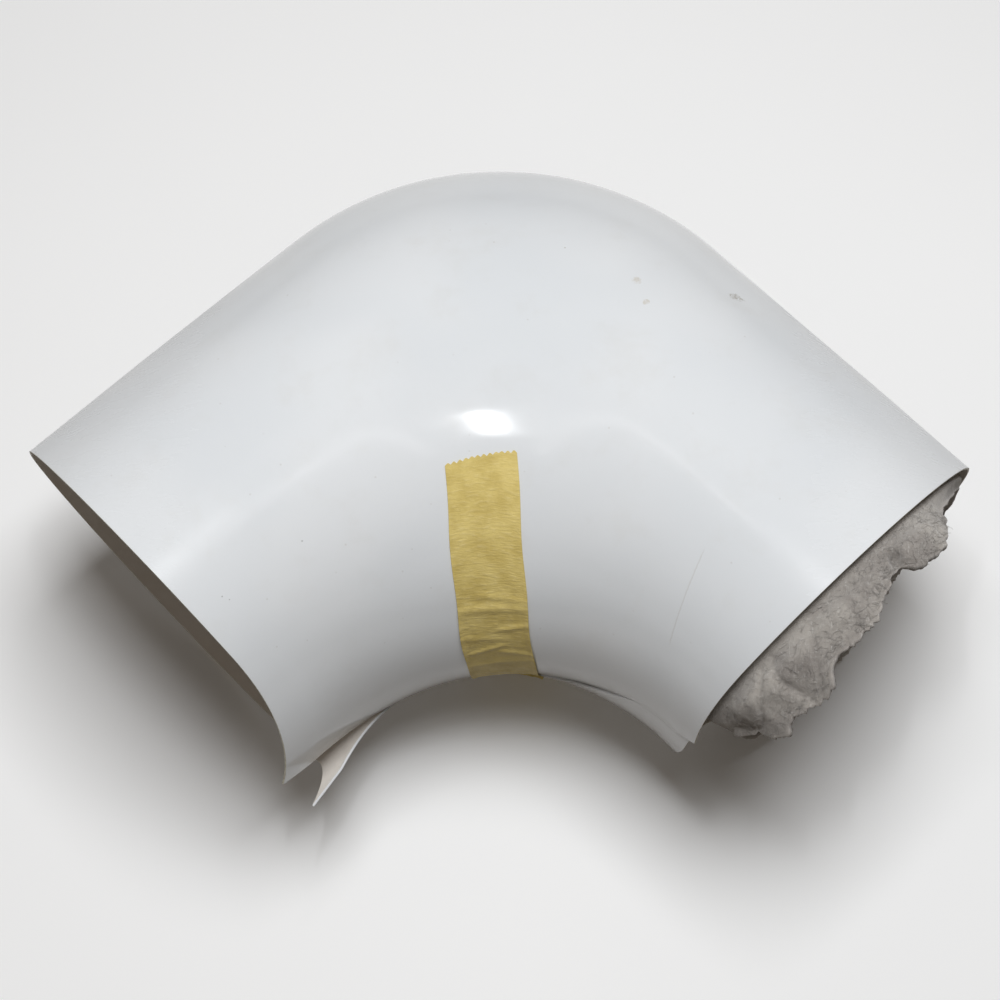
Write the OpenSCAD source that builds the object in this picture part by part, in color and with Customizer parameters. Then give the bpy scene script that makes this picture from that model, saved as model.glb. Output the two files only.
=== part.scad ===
// Elbow cover for insulated pipe: one thin sheet formed round a 90 degree bend and
// split along the inside of the bend, held shut with a strip of tape, over two
// plies of fibre insulation that stand out of one end.
// The elbow lies on its side: the bend is seen from +Z, the heel is towards +Y,
// the throat is towards -Y, and the two ends face down to the left and right.

/* [Elbow cover] */
// Outside radius of the two straight ends
end_r = 70.8; // [50:0.1:100]
// Thickness of the sheet
sheet_t = 0.8; // [0.5:0.1:0.9]
// Radius of the throat, the inside of the bend
throat_r = 79; // [60:1:100]
// Radius of the round part of the heel, the outside of the bend
heel_r = 108; // [90:0.5:120]
// Length of each straight end
end_l = 10; // [8:0.5:30]
// Half of the angle between the two end planes
half_fan = 45.2; // [44:0.1:46]
// How far each rim leans, out at the top and in at the bottom
rim_lean = 8.3; // [0:0.5:10]

/* [Split seam] */
// Overlap of the two flaps, in degrees round the section
seam_lap = 10; // [6:1:16]
// Height of the outer flap over the inner one
lap_lift = 1.4; // [1.2:0.1:2]
// Place of the outer flap's edge at the middle of the bend, in degrees from the heel
seam_mid = 203; // [198:1:206]
// Place of the outer flap's edge at the left end
seam_left = 185; // [182:1:200]
// Place of the outer flap's edge at the right end
seam_right = 173; // [168:1:186]
// How far the inner flap has sprung away from the heel at the left end
spring_open = 17; // [6:1:20]

/* [Tape] */
// Width of the tape
tape_w = 24; // [18:1:38]
// Thickness of the tape
tape_t = 0.3; // [0.2:0.05:0.5]
// Where the tape starts, in degrees round the section from the heel
tape_from = 119; // [100:1:130]
// Where the tape ends, under the throat
tape_to = 250; // [225:1:262]
// Depth of the cutter's teeth along the tape's ends
tape_tooth = 1.2; // [0.4:0.1:1.5]

/* [Insulation] */
// Thickness of the outer ply
outer_ply_t = 9; // [6:1:12]
// Thickness of the inner ply
inner_ply_t = 8; // [6:1:12]
// How far the plies stand out of the right end
ply_out = 24; // [12:1:26]

/* [Hidden] */

LEFT = -1;
RIGHT = 1;
UP = [0, 0, 1];

// The heel line is straight along each arm and round in between.
heel_c = (2 * end_r + throat_r - heel_r) / cos(half_fan);
heel_turn = atan2(heel_r * sin(half_fan), heel_c + heel_r * cos(half_fan));
// Length of half the bend along its middle line
bend_l = half_fan * PI / 180 * (throat_r + end_r);

// Each flap's edge at its end, as [towards the throat, up, out along the arm],
// then the angles from which it springs and from which its rim stands out.
left_outer_flap = [[3, -0.5, 12], 127, 135];
left_inner_flap = [[1.4 * spring_open, -2, 28], 131, 156];
right_outer_flap = [[-3.9, 0.7, 4.4], 127, 135];
right_inner_flap = [[-2, 0.8, -2.6], 127, 135];
// Edge of the tape on the left, as a share of the arm: the flaps overlap only up to it.
lap_ends = 0.12;
// The outer flap rises over the inner one between these angles.
rise_from = 140;
rise_to = 176;

// Steps along each half of the bend, along each straight end, and round the sheet
bend_steps = 12;
end_steps = 3;
round_steps = 50;
ply_steps = 26;
ply_left_steps = 7;
tape_rows = 20;
tape_steps = 36;

// Clearances that keep the soft pieces off the sheet and off each other
tape_gap = 0.1;
ply_gap = 0.6;
// Half of each ply's angle round the section
ply_half = 148;
// How much further in the inner ply's torn end is, and how far the plies stand out at the heel
ply_back = 3;
ply_heel_out = 4;
// The tape drifts to the right by this much in each degree, and crosses the middle here.
tape_drift = 0.12;
tape_middle = 157;
// Angle over which the tape comes down off the outer flap
tape_step = 8;

function unit(v) = v / norm(v);
function clamp(x, lo, hi) = min(max(x, lo), hi);
function share(x, from, to) = clamp((x - from) / (to - from), 0, 1);
function reversed(list) = [for (i = [len(list) - 1:-1:0]) list[i]];
function spread(from, to, steps) = [for (i = [0:steps]) from + (to - from) * i / steps];

// Distance of the heel line from the throat's centre, t degrees from the middle of the bend
function heel_at(t) =
    t > heel_turn
        ? (2 * end_r + throat_r) / cos(half_fan - t)
        : heel_c * cos(t) + sqrt(pow(heel_r, 2) - pow(heel_c * sin(t), 2));

// One section, t degrees round the bend and then s mm along the arm:
// [centre, way to the heel, way out along the arm, half width, share of the arm, side]
function station(side, t, s = 0) =
    let (
        half_w = (heel_at(t) - throat_r) / 2,
        to_heel = [side * sin(t), cos(t), 0],
        along = [side * cos(t), -sin(t), 0],
        far = (bend_l * t / half_fan + s) / (bend_l + end_l)
    )
    [to_heel * (heel_at(t) - half_w) + along * s, to_heel, along, half_w, far, side];
function arm(side, from = 1) = concat(
    [for (i = [from:bend_steps]) station(side, half_fan * i / bend_steps)],
    [for (i = [1:end_steps]) station(side, half_fan, end_l * i / end_steps)]
);
function whole_elbow() = concat(reversed(arm(LEFT)), arm(RIGHT, 0));

// Places of the two split edges round a section. Negative angles run round under the elbow.
function outer_edge(st) =
    let (end = st[5] == LEFT ? seam_left : seam_right)
    seam_mid + (end - seam_mid) * pow(st[4], 2.5);
function lap_at(st) =
    st[5] == LEFT && st[4] > lap_ends
        ? -3 * share(st[4], lap_ends, 1)
        : seam_lap * share(st[5] * st[4], -lap_ends, 0.4);
function inner_edge(st) = outer_edge(st) - lap_at(st) - 360;

function flap_of(st, outer) =
    st[5] == LEFT
        ? (outer ? left_outer_flap : left_inner_flap)
        : (outer ? right_outer_flap : right_inner_flap);
// How far flaps have sprung along the arm: the left inner flap starts at the tape
function sprung(st, outer) =
    pow(st[5] == LEFT && !outer ? share(st[4], lap_ends, 1) : st[4], 0.85);

// A point on the outside of the sheet, phi degrees round from the heel
function sheet_point(st, phi) =
    let (
        outer = phi > 0,
        x = abs(phi),
        flap = flap_of(st, outer),
        spring = sprung(st, outer) * pow(max(x - flap[1], 0) / (180 - flap[1]), 2),
        rim = pow(st[4], 3) * pow(max(x - flap[2], 0) / (180 - flap[2]), 2),
        lift = outer ? lap_lift * share(x, rise_from, rise_to) : 0
    )
    st[0]
        + st[1] * ((st[3] + lift) * cos(phi) - spring * flap[0][0])
        + UP * ((end_r + lift) * sin(phi) + spring * flap[0][1])
        + st[2] * (rim_lean * pow(st[4], 3) * sin(phi) + rim * flap[0][2]);
// The way out of the sheet there
function sheet_normal(st, phi) =
    let (side = phi > 0 ? 1 : -1, step = 0.5 * side)
    unit(cross(sheet_point(st, phi + step) - sheet_point(st, phi), st[2])) * side * st[5];
function raised(st, phi, out) = sheet_point(st, phi) + sheet_normal(st, phi) * out;

// Joins loops of points into one closed solid. Each loop runs along the outer side and
// back along the inner side, so short bridges between the two sides close the ends.
module skin(loops) {
    m = len(loops[0]);
    rows = len(loops);
    last = (rows - 1) * m;
    sides = [
        for (i = [0:rows - 2], j = [0:m - 1])
            let (a = i * m + j, b = i * m + (j + 1) % m)
            each [[a, b, b + m], [a, b + m, a + m]]
    ];
    ends = [
        for (j = [0:m / 2 - 2])
            let (k = m - 1 - j)
            each [
                [j, k, j + 1], [j + 1, k, k - 1],
                [last + j, last + j + 1, last + k], [last + j + 1, last + k - 1, last + k]
            ]
    ];
    polyhedron([for (loop = loops) each loop], concat(sides, ends));
}
function sheet_loop(st, angles, out, in) = concat(
    [for (phi = angles) raised(st, phi, out)],
    [for (phi = reversed(angles)) raised(st, phi, in)]
);

cover = [
    for (st = whole_elbow())
        sheet_loop(st, spread(inner_edge(st), outer_edge(st), round_steps), 0, -sheet_t)
];

// The tape crosses the throat squarely, so its section turns less the further out it is.
function tape_reach(phi) =
    let (mid = station(RIGHT, 0))
    norm(mid[0] + mid[1] * mid[3] * cos(phi));
function tape_station(phi, across) =
    let (t = atan2(across + tape_drift * (phi - tape_middle), tape_reach(phi)))
    station(t < 0 ? LEFT : RIGHT, abs(t));
// Follows the outer flap, then steps down to the inner flap beyond its edge
function tape_point(st, phi, up) =
    let (past = phi - outer_edge(st), down = lap_lift * (1 - share(past, 0, tape_step)))
    past < 0 ? raised(st, phi, up) : raised(st, phi - 360, up + down);
function tape_tooth_at(i) = i % 2 == 0 ? 0 : tape_tooth;
// One line of points along the tape, at one place across its width
function tape_line(i, up) =
    let (
        across = tape_w * (i / tape_rows - 0.5),
        tooth = tape_tooth_at(i) * 180 / PI / end_r,
        angles = spread(tape_from + tooth, tape_to - tooth, tape_steps)
    )
    [for (phi = angles) tape_point(tape_station(phi, across), phi, up)];
tape = [
    for (i = [0:tape_rows])
        concat(tape_line(i, tape_gap + tape_t), reversed(tape_line(i, tape_gap)))
];

// Each ply lines the right arm and most of the bend, and is open along the throat.
// Its end stands out of the right rim, most of all towards the throat.
ply_angles = spread(-ply_half, ply_half, ply_steps);
function ply_reach(phi, out) = ply_heel_out + (out - ply_heel_out) * share(abs(phi), 30, 130);
function ply_loop(st, depth, thickness, out) =
    let (
        ring = sheet_loop(st, ply_angles, -depth, -depth - thickness),
        angles = concat(ply_angles, reversed(ply_angles))
    )
    [for (i = [0:len(ring) - 1]) ring[i] + st[2] * (out > 0 ? ply_reach(angles[i], out) : 0)];
function ply_loops(depth, thickness, out) =
    let (
        left = [for (i = [1:ply_left_steps]) station(LEFT, half_fan * i / bend_steps)],
        all = concat(reversed(left), arm(RIGHT, 0))
    )
    concat(
        [for (st = all) ply_loop(st, depth, thickness, 0)],
        [ply_loop(all[len(all) - 1], depth, thickness, out)]
    );
outer_ply = ply_loops(sheet_t + ply_gap, outer_ply_t, ply_out);
inner_ply = ply_loops(sheet_t + outer_ply_t + 2 * ply_gap, inner_ply_t, ply_out - ply_back);
// The origin is under the middle of the elbow, at the surface that it lies on.
every_point = [for (solid = [cover, outer_ply, inner_ply], loop = solid) each loop];
xs = [for (p = every_point) p.x];
ys = [for (p = every_point) p.y];
zs = [for (p = every_point) p.z];
origin = [(min(xs) + max(xs)) / 2, (min(ys) + max(ys)) / 2, min(zs)];
module placed() {
    translate(-origin)
        children();
}

module elbow_cover() {
    color("whitesmoke")
        placed() skin(cover);
}
module seam_tape() {
    color("burlywood")
        placed() skin(tape);
}
module insulation_outer_ply() {
    color("gainsboro")
        placed() skin(outer_ply);
}
module insulation_inner_ply() {
    color("lightgray")
        placed() skin(inner_ply);
}

elbow_cover();
seam_tape();
insulation_outer_ply();
insulation_inner_ply();
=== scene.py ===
import math

import bmesh
import bpy
import numpy as np
from mathutils import Matrix, Vector, noise


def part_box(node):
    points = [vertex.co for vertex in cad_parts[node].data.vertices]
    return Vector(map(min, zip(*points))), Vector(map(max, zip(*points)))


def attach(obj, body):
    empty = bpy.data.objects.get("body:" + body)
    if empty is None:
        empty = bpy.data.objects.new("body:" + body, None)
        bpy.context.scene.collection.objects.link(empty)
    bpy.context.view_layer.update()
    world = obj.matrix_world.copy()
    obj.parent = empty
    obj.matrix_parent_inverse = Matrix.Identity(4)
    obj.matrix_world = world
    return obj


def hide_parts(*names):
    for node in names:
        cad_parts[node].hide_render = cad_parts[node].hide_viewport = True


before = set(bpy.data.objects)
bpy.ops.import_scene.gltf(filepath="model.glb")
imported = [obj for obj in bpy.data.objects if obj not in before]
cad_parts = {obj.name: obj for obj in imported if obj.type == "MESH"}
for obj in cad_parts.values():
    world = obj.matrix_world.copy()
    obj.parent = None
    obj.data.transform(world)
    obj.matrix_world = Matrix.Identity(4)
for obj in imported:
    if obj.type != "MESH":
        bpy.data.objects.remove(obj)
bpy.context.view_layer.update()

MM = 0.001

# ---------------------------------------------------------------- shape of the sheet
# The CAD model's sweep in mm, with the centre of the throat's arc as the origin. Three things differ from
# the CAD: the lap is lower, the right inner flap is set otherwise, and the right rim draws in underneath.
END_R = 70.8
SHEET_T = 0.8
THROAT_R = 79.0
HEEL_R = 108.0
END_L = 10.0
HALF_FAN = math.radians(45.2)
RIM_LEAN = 8.3
LAP_LIFT = 0.97
SEAM_LAP = 10.0
SEAM_MID = 203.0
SEAM_LEFT = 185.0
SEAM_RIGHT = 173.0
LAP_ENDS = 0.12
# Where along the right arm the flaps' overlap has its full width
LAP_FULL = 0.4
# How far the two split edges stand apart at the left rim, in degrees
LEFT_GAP = 3.0
# How late along each arm the split edges turn towards their places at the rim
SEAM_BEND = 2.5
# How early along each arm the flaps spring apart
SPRING_POWER = 0.85
# The outer flap rises over the inner one between these angles.
RISE = (140.0, 176.0)
# How far the right rim draws in under the elbow, in mm, and the angles it begins and ends between
LOW_DIP = 5.0
DIP_BEGINS = (90.0, 135.0)
DIP_ENDS = (150.0, 178.0)
# Past this angle the right inner flap is under the outer one, and its rim stands out no further.
RIM_STOP = 172.0

HEEL_C = (2 * END_R + THROAT_R - HEEL_R) / math.cos(HALF_FAN)
HEEL_TURN = math.atan2(HEEL_R * math.sin(HALF_FAN), HEEL_C + HEEL_R * math.cos(HALF_FAN))
BEND_L = HALF_FAN * (THROAT_R + END_R)
HALF_L = BEND_L + END_L
# Steps round and along that the sheet's slope is taken over
SLOPE_PHI = 0.3
SLOPE_W = 0.004

# Each flap's edge at its end: to the throat, up, out along the arm, springs from, rim from.
# In the order left inner, left outer, right inner, right outer.
FLAPS = np.array([
    [23.8, -2.0, 28.0, 131.0, 156.0],
    [3.0, -0.5, 12.0, 127.0, 135.0],
    [-2.3, 0.1, 1.6, 119.0, 146.0],
    [-3.9, 0.7, 4.4, 127.0, 135.0],
])


def share(x, low, high):
    return np.clip((x - low) / (high - low), 0, 1)


def smooth(x, low, high):
    part = share(x, low, high)
    return part * part * (3 - 2 * part)


def heel_at(t):
    arm = (2 * END_R + THROAT_R) / np.cos(HALF_FAN - t)
    bow = HEEL_C * np.cos(t) + np.sqrt(np.maximum(HEEL_R**2 - (HEEL_C * np.sin(t)) ** 2, 0))
    return np.where(t > HEEL_TURN, arm, bow)


def sheet(w, phi):
    """Points on the sheet, for w from -1, the left rim, to 1, the right rim, and phi degrees round from
    the heel."""
    w, phi = np.broadcast_arrays(np.asarray(w, float), np.asarray(phi, float))
    side = np.where(w < 0, -1.0, 1.0)
    far = np.abs(w)
    run = far * HALF_L
    t = HALF_FAN * np.minimum(run / BEND_L, 1)
    half_w = (heel_at(t) - THROAT_R) / 2
    outer = phi > 0
    x = np.abs(phi)
    which = (side > 0) * 2 + outer
    flap = FLAPS[which]
    sprung = np.where(which == 0, share(far, LAP_ENDS, 1), far) ** SPRING_POWER
    spring = sprung * (np.maximum(x - flap[..., 3], 0) / (180 - flap[..., 3])) ** 2
    rim_x = np.where(which == 2, np.minimum(x, RIM_STOP), x)
    rim = far**3 * (np.maximum(rim_x - flap[..., 4], 0) / (180 - flap[..., 4])) ** 2
    lift = np.where(outer, LAP_LIFT * share(x, *RISE), 0)
    turn = np.radians(phi)
    inward = heel_at(t) - half_w + (half_w + lift) * np.cos(turn) - spring * flap[..., 0]
    up = (END_R + lift) * np.sin(turn) + spring * flap[..., 1]
    dip = (which == 2) * far**3 * LOW_DIP * smooth(x, *DIP_BEGINS) * (1 - smooth(x, *DIP_ENDS))
    rim = rim * flap[..., 2] - dip
    out = np.maximum(run - BEND_L, 0) + RIM_LEAN * far**3 * np.sin(turn) + rim
    x_part = side * np.sin(t) * inward + side * np.cos(t) * out
    y_part = np.cos(t) * inward - np.sin(t) * out
    return np.stack([x_part, y_part, up], -1)


def unit(v):
    return v / np.linalg.norm(v, axis=-1, keepdims=True)


def outward(w, phi):
    """The way out of the sheet, from its slope round and along."""
    round_it = sheet(w, phi + SLOPE_PHI) - sheet(w, phi - SLOPE_PHI)
    low = np.maximum(w - SLOPE_W, -1)
    high = np.minimum(w + SLOPE_W, 1)
    return unit(np.cross(round_it, sheet(high, phi) - sheet(low, phi)))


def raised(w, phi, out):
    """Points that stand out mm off the sheet."""
    return sheet(w, phi) + outward(w, phi) * np.asarray(out)[..., None]


def outer_edge(w):
    """The angle of the outer flap's split edge."""
    end = np.where(w < 0, SEAM_LEFT, SEAM_RIGHT)
    return SEAM_MID + (end - SEAM_MID) * np.abs(w) ** SEAM_BEND


def inner_edge(w):
    """The angle of the inner flap's split edge, a full turn back from the outer one's."""
    far = np.abs(w)
    gap = -LEFT_GAP * share(far, LAP_ENDS, 1)
    lap = SEAM_LAP * share(w, -LAP_ENDS, LAP_FULL)
    return outer_edge(w) - np.where((w < 0) & (far > LAP_ENDS), gap, lap) - 360


COVER_ROWS = 181
COVER_COLUMNS = 281
cover_w = np.linspace(-1, 1, COVER_ROWS)[:, None]
cover_share = np.linspace(0, 1, COVER_COLUMNS)[None, :]
cover_phi = inner_edge(cover_w) + (outer_edge(cover_w) - inner_edge(cover_w)) * cover_share
cover_w = cover_w + 0 * cover_phi
# The row frame's place in the sweep: the middles of the two boxes are the same point.
bare = sheet(cover_w, cover_phi).reshape(-1, 3)
box_low, box_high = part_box("elbow_cover")
ORIGIN = (bare.min(0) + bare.max(0)) / 2 - np.array((box_low + box_high) / 2) / MM


def rough(points, size, octaves, shift=0.0):
    """Smooth noise from about -1 to 1 at each point, size mm across."""
    flat = points.reshape(-1, 3) / size + shift
    values = [noise.fractal(Vector(p), 1.0, 2.0, octaves) for p in flat]
    return np.array(values).reshape(points.shape[:-1])


# ---------------------------------------------------------------- meshes
def make_object(name, points, faces, kinds=None, uvs=None):
    """A mesh object from points in the sweep's mm, moved to the row frame."""
    mesh = bpy.data.meshes.new(name)
    mesh.from_pydata(((points - ORIGIN) * MM).tolist(), [], faces)
    if kinds is not None:
        mesh.polygons.foreach_set("material_index", kinds)
    if uvs is not None:
        layer = mesh.uv_layers.new(name="Flat")
        corner = np.zeros(len(mesh.loops), int)
        mesh.loops.foreach_get("vertex_index", corner)
        layer.data.foreach_set("uv", uvs[corner].ravel())
    mesh.polygons.foreach_set("use_smooth", [True] * len(mesh.polygons))
    tidy = bmesh.new()
    tidy.from_mesh(mesh)
    bmesh.ops.recalc_face_normals(tidy, faces=tidy.faces)
    tidy.to_mesh(mesh)
    tidy.free()
    obj = bpy.data.objects.new(name, mesh)
    bpy.context.scene.collection.objects.link(obj)
    return obj


def around(grid):
    """The values at a grid's edge, in order once around it."""
    return np.concatenate([grid[0, :-1], grid[:-1, -1], grid[-1, :0:-1], grid[:0:-1, 0]])


def shell(name, top, bottom, bulge, uvs=None):
    """A closed skin between two grids of points, with one more row of points halfway between them at the
    edge, bulge mm further out. Faces of the top are of kind 0, of the bottom kind 1, of the edge kind 2."""
    rows, columns = top.shape[:2]
    index = np.arange(rows * columns).reshape(rows, columns)
    ring = around(index)
    inside = np.pad(index[1:-1, 1:-1], 1, mode="edge")
    inner_ring = around(inside)
    flat_top = top.reshape(-1, 3)
    flat_bottom = bottom.reshape(-1, 3)
    away = unit(flat_top[ring] - flat_top[inner_ring])
    edge = (flat_top[ring] + flat_bottom[ring]) / 2 + away * bulge
    count = rows * columns
    a = index[:-1, :-1].ravel()
    b = index[1:, :-1].ravel()
    c = index[1:, 1:].ravel()
    d = index[:-1, 1:].ravel()
    over = np.stack([a, b, c, d], 1)
    under = np.stack([a, d, c, b], 1) + count
    following = np.roll(ring, -1)
    middle = 2 * count + np.arange(len(ring))
    next_middle = np.roll(middle, -1)
    upper = np.stack([ring, following, next_middle, middle], 1)
    lower = np.stack([middle, next_middle, following + count, ring + count], 1)
    faces = np.concatenate([over, under, upper, lower])
    kinds = np.repeat([0, 1, 2, 2], [len(over), len(under), len(upper), len(lower)])
    points = np.concatenate([flat_top, flat_bottom, edge])
    all_uvs = None
    if uvs is not None:
        flat_uvs = uvs.reshape(-1, 2)
        all_uvs = np.concatenate([flat_uvs, flat_uvs, flat_uvs[ring]])
    return make_object(name, points, faces.tolist(), kinds, all_uvs)


# ---------------------------------------------------------------- materials
def material(name):
    made = bpy.data.materials.new(name)
    made.use_nodes = True
    made.node_tree.nodes.clear()
    return made


def node(tree, kind, inputs=None, **settings):
    """Adds a shader node. Inputs are numbers, colours, vectors or other nodes' sockets, by name or place."""
    made = tree.nodes.new("ShaderNode" + kind)
    for key, value in settings.items():
        setattr(made, key, value)
    for key, value in (inputs or {}).items():
        if isinstance(value, bpy.types.NodeSocket):
            tree.links.new(value, made.inputs[key])
        else:
            made.inputs[key].default_value = value
    return made


def object_place(tree):
    return node(tree, "TexCoord").outputs["Object"]


def noise_value(tree, place, scale, detail, roughness=0.5, distortion=0.0):
    inputs = {"Vector": place, "Scale": scale, "Detail": detail, "Roughness": roughness}
    inputs["Distortion"] = distortion
    return node(tree, "TexNoise", inputs).outputs["Fac"]


def stretched(tree, place, scale, turn=(0, 0, 0)):
    inputs = {"Vector": place, "Scale": scale, "Rotation": turn}
    return node(tree, "Mapping", inputs).outputs["Vector"]


def spread(tree, value, low, high, to_low=0.0, to_high=1.0):
    inputs = {"Value": value, "From Min": low, "From Max": high, "To Min": to_low, "To Max": to_high}
    return node(tree, "MapRange", inputs, interpolation_type="SMOOTHSTEP").outputs["Result"]


def maths(tree, operation, a, b=0.0):
    return node(tree, "Math", {0: a, 1: b}, operation=operation).outputs[0]


def times(tree, a, b):
    return maths(tree, "MULTIPLY", a, b)


def colour_mix(tree, amount, a, b):
    """From colour a at amount 0 to colour b at amount 1."""
    made = node(tree, "Mix", data_type="RGBA")
    for socket, value in ((made.inputs[0], amount), (made.inputs[6], a), (made.inputs[7], b)):
        if isinstance(value, bpy.types.NodeSocket):
            tree.links.new(value, socket)
        else:
            socket.default_value = value
    return made.outputs[2]


def bump(tree, height, distance, strength, onto=None):
    inputs = {"Height": height, "Distance": distance, "Strength": strength}
    if onto is not None:
        inputs["Normal"] = onto
    return node(tree, "Bump", inputs).outputs["Normal"]


def finish_material(made, **inputs):
    tree = made.node_tree
    named = {key.replace("_", " "): value for key, value in inputs.items()}
    shader = node(tree, "BsdfPrincipled", named)
    output = node(tree, "OutputMaterial")
    tree.links.new(shader.outputs[0], output.inputs[0])
    return made


def rgb(r, g, b):
    return (r, g, b, 1.0)


def row(x, y, z):
    """A place on the object, in mm of the row frame, as the materials see it."""
    return (x * MM, y * MM, z * MM)


def near(tree, place, centre, radius, squeeze=(1, 1, 1)):
    """1 at the core of a blot round a place on the object, falling to 0 at its radius in mm."""
    off = node(tree, "VectorMath", {0: place, 1: centre}, operation="SUBTRACT").outputs[0]
    scaled = node(tree, "VectorMath", {0: off, 1: squeeze}, operation="MULTIPLY").outputs[0]
    far = node(tree, "VectorMath", {0: scaled}, operation="LENGTH").outputs[1]
    return spread(tree, far, radius * MM * BLOT_CORE, radius * MM, 1.0, 0.0)


# The core of a blot, as a share of its radius
BLOT_CORE = 0.1
WHOLE = (1, 1, 1)
STAIN = rgb(0.45, 0.36, 0.22)
DIRT = rgb(0.12, 0.10, 0.09)
# Marks on the sheet: place, radius in mm, squeeze, strength, the noise level they show above, colour
MARKS = (
    (row(80.0, 43.6, 126.6), 8.0, (0.8, 1.6, 1.0), 0.60, 0.42, rgb(0.26, 0.22, 0.16)),
    (row(45.6, 42.9, 137.7), 4.4, WHOLE, 0.36, 0.40, STAIN),
    (row(48.5, 33.6, 139.3), 3.4, WHOLE, 0.36, 0.38, STAIN),
    (row(-62.2, -52.5, 130.8), 1.0, WHOLE, 0.45, 0.35, DIRT),
    (row(-86.3, -72.8, 131.8), 0.7, WHOLE, 0.45, 0.35, DIRT),
    (row(-84.0, -73.4, 130.8), 0.7, WHOLE, 0.45, 0.35, DIRT),
    (row(-40.0, 20.0, 138.0), 0.7, WHOLE, 0.5, 0.35, rgb(0.20, 0.16, 0.12)),
)
# The middle and the radius in mm of the patch of specks on the heel
HEEL_PATCH = (row(18, 62, 134), 34)
SCRATCH_START = Vector(row(66.6, -56.0, 131.5))
SCRATCH_END = Vector(row(58.1, -76.4, 112.5))
# Roughly the way into the sheet at the scratch
SCRATCH_IN = Vector((0.5, 0.55, -0.67))
SCRATCH_FADE = 4 * MM
# The extra roughness at the rims, and where it begins and is full, in m to either side of the middle
RIM_DULL = 0.16
RIM_DULL_FROM = 0.075
RIM_DULL_FULL = 0.105


def add_specks(tree, place, base):
    """Small brown specks, thick on the heel and few elsewhere."""
    cells = node(tree, "TexVoronoi", {"Vector": place, "Scale": 330.0}, feature="F1")
    chosen = node(tree, "SeparateColor", {0: cells.outputs["Color"]}).outputs[0]
    round_dots = spread(tree, cells.outputs["Distance"], 0.05, 0.17, 1.0, 0.0)
    dots = times(tree, round_dots, spread(tree, chosen, 0.93, 0.97))
    density = maths(tree, "ADD", times(tree, near(tree, place, *HEEL_PATCH), 0.5), 0.16)
    return colour_mix(tree, times(tree, dots, density), base, rgb(0.24, 0.17, 0.10))


def add_marks(tree, place, ragged, base):
    """The scuff, two stains and four specks of dirt, with edges torn by noise."""
    for centre, radius, squeeze, strength, level, tint in MARKS:
        blot = near(tree, place, centre, radius, squeeze)
        torn = spread(tree, times(tree, blot, ragged), level * 0.92, level * 1.3)
        base = colour_mix(tree, times(tree, torn, strength), base, tint)
    return base


def add_scratch(tree, place, ragged, base):
    """One long hairline scratch down the right arm."""
    whole = SCRATCH_END - SCRATCH_START
    along = whole.normalized()
    across = along.cross(SCRATCH_IN).normalized()
    from_start = node(tree, "VectorMath", {0: place, 1: SCRATCH_START}, operation="SUBTRACT").outputs[0]
    down = node(tree, "VectorMath", {0: from_start, 1: along}, operation="DOT_PRODUCT").outputs[1]
    aside = node(tree, "VectorMath", {0: from_start, 1: across}, operation="DOT_PRODUCT").outputs[1]
    wander = times(tree, ragged, 0.8 * MM)
    aside = maths(tree, "ABSOLUTE", maths(tree, "ADD", aside, wander))
    line = spread(tree, aside, 0.1 * MM, 0.35 * MM, 1.0, 0.0)
    line = times(tree, line, spread(tree, down, -SCRATCH_FADE, 0.0))
    line = times(tree, line, spread(tree, down, whole.length + SCRATCH_FADE, whole.length))
    return colour_mix(tree, times(tree, line, 0.2), base, rgb(0.36, 0.32, 0.26))


def sheet_roughness(tree, place):
    """Smeared gloss. The rims are rougher, which keeps the flash light from showing there as bright spots."""
    smears = noise_value(tree, stretched(tree, place, (1, 3, 1), (0.3, 0.2, 0.7)), 45.0, 5.0, 0.65)
    smeared = spread(tree, smears, 0.3, 0.75, 0.09, 0.15)
    aside = maths(tree, "ABSOLUTE", node(tree, "SeparateXYZ", {0: place}).outputs[0])
    return maths(tree, "ADD", smeared, spread(tree, aside, RIM_DULL_FROM, RIM_DULL_FULL, 0.0, RIM_DULL))


def vinyl():
    made = material("gloss_vinyl")
    tree = made.node_tree
    place = object_place(tree)
    broad = spread(tree, noise_value(tree, place, 14.0, 2.0), 0.35, 0.65)
    base = colour_mix(tree, broad, rgb(0.70, 0.72, 0.74), rgb(0.74, 0.755, 0.77))
    cloudy = noise_value(tree, place, 60.0, 4.0, 0.6)
    dust = times(tree, spread(tree, cloudy, 0.5, 0.8), 0.12)
    base = colour_mix(tree, dust, base, rgb(0.55, 0.52, 0.46))
    base = add_specks(tree, place, base)
    ragged = noise_value(tree, place, 760.0, 6.0, 0.75, 0.6)
    base = add_marks(tree, place, ragged, base)
    base = add_scratch(tree, place, ragged, base)
    orange_peel = noise_value(tree, place, 260.0, 2.0)
    scratches = noise_value(tree, stretched(tree, place, (1, 14, 1), (0.5, 0.1, 0.9)), 90.0, 6.0, 0.7)
    normal = bump(tree, orange_peel, 0.06 * MM, 0.22)
    normal = bump(tree, scratches, 0.02 * MM, 0.12, normal)
    return finish_material(made, Base_Color=base, Roughness=sheet_roughness(tree, place), Normal=normal,
                           IOR=1.5, Specular_IOR_Level=0.5, Subsurface_Weight=0.06, Subsurface_Scale=0.002,
                           Subsurface_Radius=(1.0, 1.0, 1.0))


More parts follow.
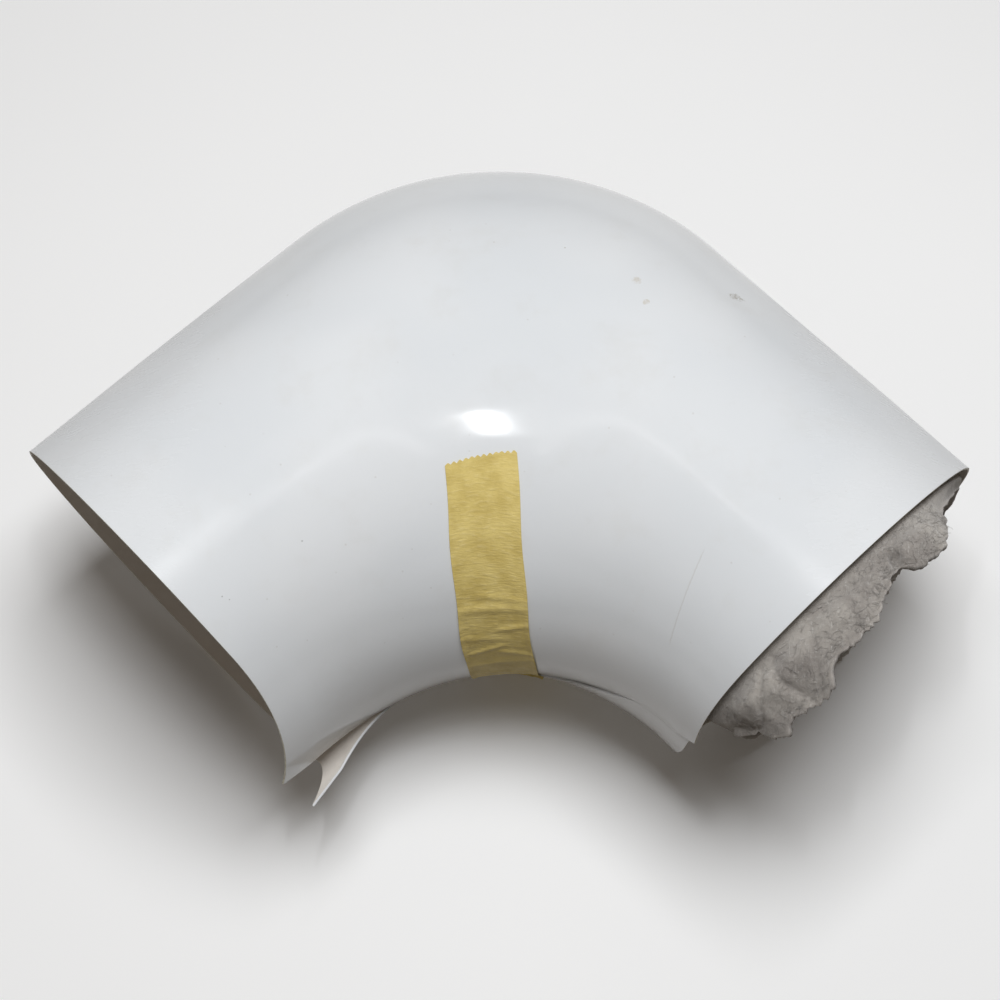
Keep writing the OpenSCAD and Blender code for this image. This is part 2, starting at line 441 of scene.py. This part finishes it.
def vinyl_inside_painted_light():
    made = material("gloss_vinyl_inside")
    tree = made.node_tree
    place = object_place(tree)
    cloudy = noise_value(tree, place, 40.0, 5.0, 0.6)
    # Painted light: the inside's base is made lighter than the outside sheet's, standing in for light that
    # reaches the inside; its warm brownish tint is dust.
    base = colour_mix(tree, spread(tree, cloudy, 0.3, 0.7), rgb(0.86, 0.80, 0.73), rgb(0.93, 0.88, 0.82))
    lint = noise_value(tree, stretched(tree, place, (1, 5, 1), (0.4, 0.9, 0.2)), 160.0, 6.0, 0.7)
    pale = times(tree, spread(tree, lint, 0.56, 0.7), 0.3)
    base = colour_mix(tree, pale, base, rgb(0.95, 0.93, 0.90))
    roughness = spread(tree, cloudy, 0.3, 0.7, 0.36, 0.5)
    normal = bump(tree, lint, 0.08 * MM, 0.4)
    return finish_material(made, Base_Color=base, Roughness=roughness, Normal=normal, IOR=1.5)


def vinyl_edge():
    made = material("gloss_vinyl_edge")
    tree = made.node_tree
    place = object_place(tree)
    cuts = noise_value(tree, place, 500.0, 4.0, 0.6)
    base = colour_mix(tree, spread(tree, cuts, 0.35, 0.7), rgb(0.66, 0.64, 0.54), rgb(0.48, 0.45, 0.37))
    normal = bump(tree, cuts, 0.2 * MM, 0.6)
    return finish_material(made, Base_Color=base, Roughness=0.55, Normal=normal, IOR=1.5)


def crepe_tape():
    made = material("crepe_tape")
    tree = made.node_tree
    flat = node(tree, "UVMap", uv_map="Flat").outputs[0]
    place = object_place(tree)
    crepe = noise_value(tree, stretched(tree, flat, (0.24, 1.0, 1)), 1.25, 5.0, 0.62, 0.25)
    fibre = noise_value(tree, stretched(tree, flat, (1.0, 0.35, 1)), 3.4, 4.0, 0.6)
    blotch = noise_value(tree, place, 130.0, 4.0, 0.55)
    base = colour_mix(tree, spread(tree, blotch, 0.3, 0.7), rgb(0.58, 0.445, 0.14), rgb(0.71, 0.565, 0.205))
    # Painted highlight: the crepe's raised crests are made paler, as if they catch the light.
    crest_highlight = times(tree, spread(tree, crepe, 0.45, 0.8), 0.35)
    base = colour_mix(tree, crest_highlight, base, rgb(0.86, 0.73, 0.40))
    dark_fibres = times(tree, spread(tree, fibre, 0.55, 0.8), 0.2)
    base = colour_mix(tree, dark_fibres, base, rgb(0.33, 0.22, 0.06))
    roughness = spread(tree, crepe, 0.3, 0.7, 0.42, 0.6)
    normal = bump(tree, crepe, 0.35 * MM, 0.8)
    normal = bump(tree, fibre, 0.06 * MM, 0.4, normal)
    return finish_material(made, Base_Color=base, Roughness=roughness, Normal=normal, IOR=1.45,
                           Specular_IOR_Level=0.35)


def glass_wool(name, light, dark):
    """Clumps of the two colours, partly random tone and partly painted light and shade: light on their raised
    tops, dark in the hollows between them, under two sets of pale strands that cross.
    """
    made = material(name)
    tree = made.node_tree
    place = object_place(tree)
    clumps_and_painted_shade = noise_value(tree, place, 70.0, 5.0, 0.6, 0.4)
    strands = noise_value(tree, stretched(tree, place, (1, 6, 2), (0.6, 0.3, 0.9)), 360.0, 7.0, 0.8, 0.9)
    crossing = noise_value(tree, stretched(tree, place, (5, 1, 2), (0.2, 0.9, 0.4)), 330.0, 7.0, 0.8, 0.9)
    fuzz = maths(tree, "MAXIMUM", strands, crossing)
    # Painted light and shade: the clumps' raised tops get the light colour, the hollows between them the dark
    # one.
    base = colour_mix(tree, spread(tree, clumps_and_painted_shade, 0.3, 0.7), dark, light)
    pale_strands = times(tree, spread(tree, fuzz, 0.54, 0.72), 0.6)
    base = colour_mix(tree, pale_strands, base, rgb(0.80, 0.785, 0.76))
    normal = bump(tree, clumps_and_painted_shade, 1.4 * MM, 0.3)
    normal = bump(tree, fuzz, 0.6 * MM, 0.7, normal)
    return finish_material(made, Base_Color=base, Roughness=0.9, Normal=normal, IOR=1.3,
                           Sheen_Weight=0.35, Sheen_Roughness=0.6, Subsurface_Weight=0.5,
                           Subsurface_Scale=0.004, Subsurface_Radius=(1.0, 1.0, 1.0))


# ---------------------------------------------------------------- cover
# Shallow dents in the sheet: size across and depth in mm. They fade out between DENTS_FADE and the rim.
BROAD_DENTS = (70.0, 0.22)
SMALL_DENTS = (26.0, 0.04)
DENTS_FADE = 0.6
EDGE_BULGE = 0.15


def build_cover():
    flat = sheet(cover_w, cover_phi)
    way = outward(cover_w, cover_phi)
    dents = rough(flat, BROAD_DENTS[0], 2) * BROAD_DENTS[1]
    dents = dents + rough(flat, SMALL_DENTS[0], 1, 9.0) * SMALL_DENTS[1]
    calm = 1 - smooth(np.abs(cover_w), DENTS_FADE, 1.0)
    top = flat + way * (dents * calm)[..., None]
    cover = shell("cover_shell", top, top - way * SHEET_T, EDGE_BULGE)
    # Only the two rims have the raw edge's material; the split edges have the outside's.
    kinds = np.zeros(len(cover.data.polygons), int)
    cover.data.polygons.foreach_get("material_index", kinds)
    rows, columns = cover_phi.shape
    ring = np.concatenate([np.full(columns - 1, 2), np.zeros(rows - 1, int)] * 2)
    kinds[kinds == 2] = np.concatenate([ring, ring])
    cover.data.polygons.foreach_set("material_index", kinds)
    for made in (vinyl(), vinyl_inside_painted_light(), vinyl_edge()):
        cover.data.materials.append(made)
    cover.data.set_sharp_from_angle(angle=math.radians(38))
    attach(cover, "root")
    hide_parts("elbow_cover")


def one_material(obj, made):
    """The same material on the top, the bottom and the edge."""
    obj.data.materials.append(made)
    obj.data.polygons.foreach_set("material_index", [0] * len(obj.data.polygons))


# ---------------------------------------------------------------- tape
TAPE_W = 24.0
TAPE_T = 0.3
TAPE_GAP = 0.1
TAPE_ROWS = 61
TAPE_COLUMNS = 341
# The angles round from the heel at which the tape starts and ends
TAPE_ENDS = (119.0, 250.0)
# The toothed end: number of teeth, their depth in degrees, and the slant across the width in degrees
TAPE_TEETH = 12
TOOTH_DEPTH = 0.55
TAPE_SLANT = 2.4
# The tape drifts to the right by this many mm per degree, and is in the middle at this angle.
TAPE_DRIFT = 0.12
TAPE_MIDDLE = 157.0
# How far the tape's two long edges wander, in mm
EDGE_WANDER = 0.25
# Degrees past the outer flap's edge at which the tape has come down onto the inner flap
TAPE_STEP = 8.0
# The length in mm of one degree round the sheet, for the tape's texture
TAPE_MM_PER_DEGREE = 1.236
# How softly a crease ends across the tape, and how much of a hollow's depth is kept
CREASE_FADE = 0.12
HOLLOW_SHARE = 0.25
# Creases: place along the tape in degrees, slant, width in degrees, height in mm, from and to across
CREASES = (
    (152.5, 2.0, 1.1, 0.35, -0.2, 0.5),
    (156.0, -1.0, 1.4, 0.50, -0.5, 0.5),
    (160.5, 0.5, 0.9, -0.30, -0.5, 0.5),
    (163.5, -5.0, 0.9, 0.45, 0.0, 0.5),
    (166.5, 1.0, 1.2, 0.30, -0.5, 0.2),
    (170.0, -7.0, 0.9, 0.45, -0.4, 0.1),
    (172.0, 2.0, 1.0, 0.40, 0.0, 0.5),
    (178.0, -4.0, 1.4, 0.35, -0.5, 0.5),
    (187.0, 5.0, 1.2, 0.30, -0.3, 0.5),
)


def tape_place(across, along):
    """Where the tape lies on the sheet: w and phi at each of its points."""
    tooth_at = (across + 0.5) * TAPE_TEETH
    beat = np.abs(tooth_at % 1 * 2 - 1)
    uneven = 0.75 + 0.5 * np.abs(np.sin(37 * np.round(tooth_at)))
    tooth = beat * uneven * TOOTH_DEPTH
    first = TAPE_ENDS[0] - TAPE_SLANT * across + tooth
    phi = first + (TAPE_ENDS[1] - tooth - first) * along
    mid_half = (heel_at(np.array(0.0)) - THROAT_R) / 2
    reach = THROAT_R + mid_half + mid_half * np.cos(np.radians(phi))
    wander = EDGE_WANDER * np.sin(along * 31) * np.abs(across) * 2
    shift = across * TAPE_W + wander + TAPE_DRIFT * (phi - TAPE_MIDDLE)
    return np.arctan2(shift, reach) / HALF_FAN * BEND_L / HALF_L, phi


def tape_creases(across, phi):
    """How far creases, puckers and curled edges stand up off the flat tape, in mm."""
    ridge = np.zeros_like(phi)
    for place, slant, width, height, start, end in CREASES:
        off = phi - place - slant * across
        begins = smooth(across, start - CREASE_FADE, start + CREASE_FADE)
        ends = smooth(across, end - CREASE_FADE, end + CREASE_FADE)
        size = height if height > 0 else height * HOLLOW_SHARE
        ridge += size * np.exp(-((off / width) ** 2)) * begins * (1 - ends)
    puckers = rough(np.stack([across * TAPE_W + 0 * phi, phi * 1.2, 0 * phi], -1), 3.2, 3, 4.0)
    ridge += 0.05 * puckers + 0.12 * np.maximum(puckers, 0) * smooth(phi, 148, 160)
    curl = 0.35 * smooth(np.abs(across), 0.42, 0.5) * smooth(phi, 140, 170)
    return np.maximum(ridge, -0.05) + curl


def step_down(w, phi):
    """How far past the outer flap's edge the tape still stands off the inner flap, in mm."""
    edge = outer_edge(w)
    apart = sheet(w, edge) - sheet(w, edge - 360)
    drop = np.sum(apart * outward(w, edge - 360), -1)
    return np.maximum(drop, LAP_LIFT) * (1 - smooth(phi - edge, 0.5, TAPE_STEP))


def build_tape():
    across = np.linspace(-0.5, 0.5, TAPE_ROWS)[:, None]
    along = np.linspace(0, 1, TAPE_COLUMNS)[None, :]
    w, phi = tape_place(across, along)
    on_outer = phi < outer_edge(w)
    phi_here = np.where(on_outer, phi, phi - 360)
    lift = np.where(on_outer, 0, step_down(w, phi))
    up = TAPE_GAP + TAPE_T + tape_creases(across, phi)
    top = raised(w, phi_here, up + lift)
    bottom = raised(w, phi_here, up + lift - TAPE_T)
    uvs = np.stack([across * TAPE_W + 0 * phi, (phi - TAPE_ENDS[0]) * TAPE_MM_PER_DEGREE], -1)
    tape = shell("tape_strip", top, bottom, 0.03, uvs)
    one_material(tape, crepe_tape())
    tape.data.set_sharp_from_angle(angle=math.radians(50))
    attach(tape, "root")
    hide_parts("seam_tape")


# ---------------------------------------------------------------- insulation
# Both plies begin 7/12 of the way from the middle of the bend to its left end.
PLY_LEFT = -7 / 12 * BEND_L / HALF_L
RIGHT_ALONG = np.array([math.cos(HALF_FAN), -math.sin(HALF_FAN), 0.0])
# How far the torn edge stands out of the right rim, in mm, by the angle round from the heel
OUTER_REACH = (
    (-150, -6), (-136, -5), (-120, 0), (-104, 8), (-88, 12), (-70, 12), (-40, 5), (-10, 3), (20, 2),
    (38, 2.5), (55, 4.5), (61, 7), (66, 12), (72, 15.5), (80, 16), (84, 14.5), (86.5, 10), (91, 11.5),
    (96, 14.5), (102, 18), (118, 18.5), (122, 22), (126, 24.5), (132, 23), (138, 21), (143, 24), (148, 21),
    (152, 15), (158, 12), (163, 6),
)
INNER_REACH = (
    (-150, -2), (-140, 3), (-134, 10), (-128, 17), (-120, 20), (-112, 20), (-104, 17), (-90, 14), (-60, 8),
    (-20, 3), (40, 2), (80, 8), (110, 12), (130, 17), (145, 16), (152, 10), (163, 2),
)
# The angles round from the heel that the plies lie between
PLY_ENDS = (-149.0, 162.0)
PLY_COLUMNS = 420
ROWS_INSIDE = 46
ROWS_OUTSIDE = 37
# Each ply's depth inside the sheet and its thickness, in mm
OUTER_PLY = (1.6, 8.6)
INNER_PLY = (11.2, 7.8)


def tear(phi, table, seed):
    """The torn edge: its broad lobes, then steps and nicks of a few mm and less."""
    places, reaches = zip(*table)
    broad = np.interp(phi, places, reaches)
    run = np.stack([phi * 1.2, 0 * phi + seed, 0 * phi], -1)
    nicks = rough(run, 9.0, 2) * 1.2 + rough(run, 3.0, 3, 5.0) * 1.0 + rough(run, 1.1, 2, 2.0) * 0.8
    return broad + nicks * share(np.abs(broad), 0, 8)


def build_ply(name, node_name, depth, thick, table, seed, wool):
    """One ply of the batt: a thick C in section, smooth where the sheet holds it and loose where it stands
    out. It gives the points and the ways out of its loose top, for the wisps to lie on."""
    phi = np.linspace(*PLY_ENDS, PLY_COLUMNS)[None, :]
    body_rows = np.linspace(0, 1, ROWS_INSIDE) ** 0.8
    out_rows = np.linspace(0, 1, ROWS_OUTSIDE)[1:]
    reach = tear(phi, table, seed)
    last_w = 1 + np.minimum(reach - 2, 0) / HALF_L
    body_w = PLY_LEFT + (last_w - PLY_LEFT) * body_rows[:, None]
    w = np.concatenate([body_w, last_w + 0 * out_rows[:, None]])
    q = np.concatenate([0 * body_rows, out_rows])[:, None] + 0 * phi
    phi = phi + 0 * q
    stand = q * np.maximum(reach, 2)
    way = outward(w, phi)
    sunk = 2.6 * smooth(w, 0.8, 1.0) * (1 - smooth(stand, 1.0, 9.0))
    centre = sheet(w, phi) + RIGHT_ALONG * stand[..., None] - way * (depth + thick / 2)
    free = smooth(w, 0.9, 1.0) * smooth(stand, 0.0, 7.0)
    lumps = rough(centre, 24.0, 2, seed) * 2.6 + rough(centre, 8.0, 2, seed + 3) * 0.5
    creases = np.abs(rough(centre * np.array([1.0, 0.4, 0.7]), 13.0, 1, seed + 7))
    creases = (1 - creases * 5).clip(0, 1) ** 2 * smooth(phi, 112, 128)
    fluff = rough(centre, 1.3, 3, seed + 5) * 0.16
    shape = (lumps - creases * 1.3) * free + fluff
    half_thick = thick / 2 * (1 - 0.8 * smooth(q, 0.1, 1.0))
    rise = 1.4 * smooth(stand, 3.0, 12.0) - sunk
    top = centre + way * (half_thick + rise + np.maximum(shape, -0.3 * thick))[..., None]
    under = rough(centre, 15.0, 3, seed + 11) * 1.2 + rough(centre, 3.0, 3, seed + 13) * 0.35
    bottom_shape = np.minimum(lumps, 0.5) * free * 0.8 + under * 0.5
    bottom = centre + way * (rise - half_thick + bottom_shape)[..., None]
    if name == "insulation_outer":
        # A thick wad and a deep crack, side by side at the top of the torn end
        crack = np.exp(-(((phi - 87.5 + 5 * (1 - q)) / 1.3) ** 2)) * smooth(q, 0.3, 0.6)
        wad = np.exp(-(((phi - 74) / 9) ** 2)) * smooth(q, 0.0, 0.5)
        top += way * (wad * 1.6 - crack * 3.4)[..., None]
    ply = shell(name, top, bottom, 0.3)
    one_material(ply, wool)
    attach(ply, "root")
    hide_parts(node_name)
    return top[-len(out_rows):], way[-len(out_rows):]


WISP_COUNT = 1500
WISP_SEED = 5
WISP_STEPS = 6
WISP_SIDES = 3
# The share of wisps on the inner ply, and the part of the plies' way round that has wisps
WISPS_INNER = 0.35
WISPS_ROUND = (0.68, 0.98)


def build_wisps(name, fields, wool):
    """Loose fibres that lie on the torn ends, denser near the edge, as thin three-sided tubes."""
    draw = np.random.default_rng(WISP_SEED)
    points = []
    faces = []
    for _ in range(WISP_COUNT):
        top, way = fields[int(draw.random() < WISPS_INNER)]
        rows, columns = top.shape[:2]
        i = int((0.94 - draw.random() ** 1.6 * 0.85) * (rows - 1))
        j = int(draw.uniform(*WISPS_ROUND) * (columns - 1))
        here = top[i, j]
        normal = way[i, j]
        first = RIGHT_ALONG
        second = np.cross(normal, first)
        turn = draw.uniform(0, 2 * math.pi)
        heading = math.cos(turn) * first * 0.7 + math.sin(turn) * second
        bend = draw.normal(0, 0.35)
        length = draw.uniform(1.5, 5.0)
        radius = draw.uniform(0.035, 0.07)
        place = here + normal * draw.uniform(0.0, 0.25) - heading * length * 0.5
        base = len(points)
        for k in range(WISP_STEPS):
            place = place + heading * length / WISP_STEPS + normal * draw.normal(0, 0.05)
            side = np.cross(normal, heading)
            heading = unit(heading + side * bend * 0.35)
            for corner in range(WISP_SIDES):
                angle = corner * 2 * math.pi / WISP_SIDES
                points.append(place + (math.cos(angle) * side + math.sin(angle) * normal) * radius)
        for k in range(WISP_STEPS - 1):
            for corner in range(WISP_SIDES):
                a = base + WISP_SIDES * k + corner
                b = base + WISP_SIDES * k + (corner + 1) % WISP_SIDES
                faces.append((a, b, b + WISP_SIDES, a + WISP_SIDES))
        faces.append((base, base + 2, base + 1))
        end = base + WISP_SIDES * (WISP_STEPS - 1)
        faces.append((end, end + 1, end + 2))
    wisps = make_object(name, np.array(points), faces)
    wisps.data.materials.append(wool)
    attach(wisps, "root")


# ---------------------------------------------------------------- stage
# The camera: the point it looks at, and its way round, height, roll, distance in m and lens in mm
TARGET = Vector((-0.00019, -0.00844, 0.0708))
AZIMUTH = math.radians(3.01)
ELEVATION = math.radians(64.80)
ROLL = math.radians(-1.70)
DISTANCE = 0.776
LENS = 78.6
SENSOR = 36
# Lights: places and sizes in m, powers in W
MIDDLE = (0.0, 0.0, 0.07)
KEY_PLACE = (0.09, 0.075, 1.25)
KEY_SIZE = 0.6
KEY_POWER = 12.4
FILL_PLACE = (-0.48, -0.40, 0.22)
FILL_AIM = (-0.12, -0.07, 0.05)
FILL_SIZE = 0.3
FILL_POWER = 0.12
FLASH_PLACE = (-0.008, -0.088, 0.771)
FLASH_SIZE = (0.016, 0.095)
FLASH_POWER = 0.34
STRIP_ASIDE = 0.09
STRIP_Y = -0.07
STRIP_Z = 0.775
STRIP_SIZE = (0.016, 0.30)
STRIP_POWER = 0.034
WORLD_COLOUR = rgb(1.0, 0.90, 0.79)
WORLD_STRENGTH = 0.125
# Half the floor's side, in m
FLOOR_REACH = 4.0


def aim(obj, place, target):
    obj.location = place
    obj.rotation_euler = (Vector(target) - Vector(place)).to_track_quat("-Z", "Y").to_euler()


def build_camera():
    back = Vector((math.sin(AZIMUTH) * math.cos(ELEVATION), -math.cos(AZIMUTH) * math.cos(ELEVATION),
                   math.sin(ELEVATION)))
    right = Vector((math.cos(AZIMUTH), math.sin(AZIMUTH), 0))
    up = back.cross(right)
    rolled = right * math.cos(ROLL) + up * math.sin(ROLL)
    upright = up * math.cos(ROLL) - right * math.sin(ROLL)
    data = bpy.data.cameras.new("camera")
    data.lens = LENS
    data.sensor_width = SENSOR
    data.clip_start = 0.01
    camera = bpy.data.objects.new("camera", data)
    turn = Matrix((rolled, upright, back)).transposed().to_4x4()
    camera.matrix_world = Matrix.Translation(TARGET + back * DISTANCE) @ turn
    bpy.context.scene.collection.objects.link(camera)
    bpy.context.scene.camera = camera


def area_light(name, place, target, size, power, colour, length=None):
    """A square light, or a rectangle where it has a length too."""
    data = bpy.data.lights.new(name, "AREA")
    data.energy = power
    data.color = colour
    data.size = size
    if length is not None:
        data.shape = "RECTANGLE"
        data.size_y = length
    light = bpy.data.objects.new(name, data)
    aim(light, place, target)
    bpy.context.scene.collection.objects.link(light)
    return light


def build_floor():
    mesh = bpy.data.meshes.new("floor")
    grid = bmesh.new()
    bmesh.ops.create_grid(grid, x_segments=8, y_segments=8, size=FLOOR_REACH)
    grid.to_mesh(mesh)
    grid.free()
    floor = bpy.data.objects.new("floor", mesh)
    bpy.context.scene.collection.objects.link(floor)
    made = material("pale_floor")
    tree = made.node_tree
    tone = noise_value(tree, object_place(tree), 6.0, 2.0)
    base = colour_mix(tree, tone, rgb(0.955, 0.955, 0.955), rgb(0.975, 0.975, 0.975))
    finish_material(made, Base_Color=base, Roughness=0.9)
    mesh.materials.append(made)
    # The floor throws no light back on matt surfaces, so the under side of the elbow stays dark.
    floor.visible_diffuse = False


def build_world():
    world = bpy.data.worlds.new("studio")
    world.use_nodes = True
    background = world.node_tree.nodes["Background"]
    background.inputs[0].default_value = WORLD_COLOUR
    background.inputs[1].default_value = WORLD_STRENGTH
    bpy.context.scene.world = world


def build_lights():
    """A soft key and a weak fill that don't show in the gloss, a flash for the highlight over the tape, and
    two strips that show only in the gloss, as the long streaks down the arms."""
    key = area_light("key", KEY_PLACE, MIDDLE, KEY_SIZE, KEY_POWER, (0.97, 0.985, 1.0))
    key.visible_glossy = False
    fill = area_light("fill", FILL_PLACE, FILL_AIM, FILL_SIZE, FILL_POWER, (1.0, 0.93, 0.86))
    fill.visible_glossy = False
    area_light("flash", FLASH_PLACE, MIDDLE, FLASH_SIZE[0], FLASH_POWER, (0.96, 0.98, 1.0), FLASH_SIZE[1])
    for side in (-1, 1):
        x = side * STRIP_ASIDE
        strip = area_light("strip", (x, STRIP_Y, STRIP_Z), (x, STRIP_Y, 0.0), STRIP_SIZE[0], STRIP_POWER,
                           (1.0, 1.0, 1.0), STRIP_SIZE[1])
        strip.rotation_euler = (0, 0, 0)
        strip.visible_diffuse = False


build_camera()
build_floor()
build_world()
build_lights()
bpy.context.scene.view_settings.view_transform = "Standard"
build_cover()
build_tape()
wool_out = glass_wool("wool_outer", rgb(0.43, 0.40, 0.365), rgb(0.27, 0.245, 0.225))
wool_in = glass_wool("wool_inner", rgb(0.42, 0.385, 0.35), rgb(0.27, 0.245, 0.225))
outer_field = build_ply("insulation_outer", "insulation_outer_ply", *OUTER_PLY, OUTER_REACH, 1.0, wool_out)
inner_field = build_ply("insulation_inner", "insulation_inner_ply", *INNER_PLY, INNER_REACH, 31.0, wool_in)
build_wisps("insulation_wisps", (outer_field, inner_field), wool_out)
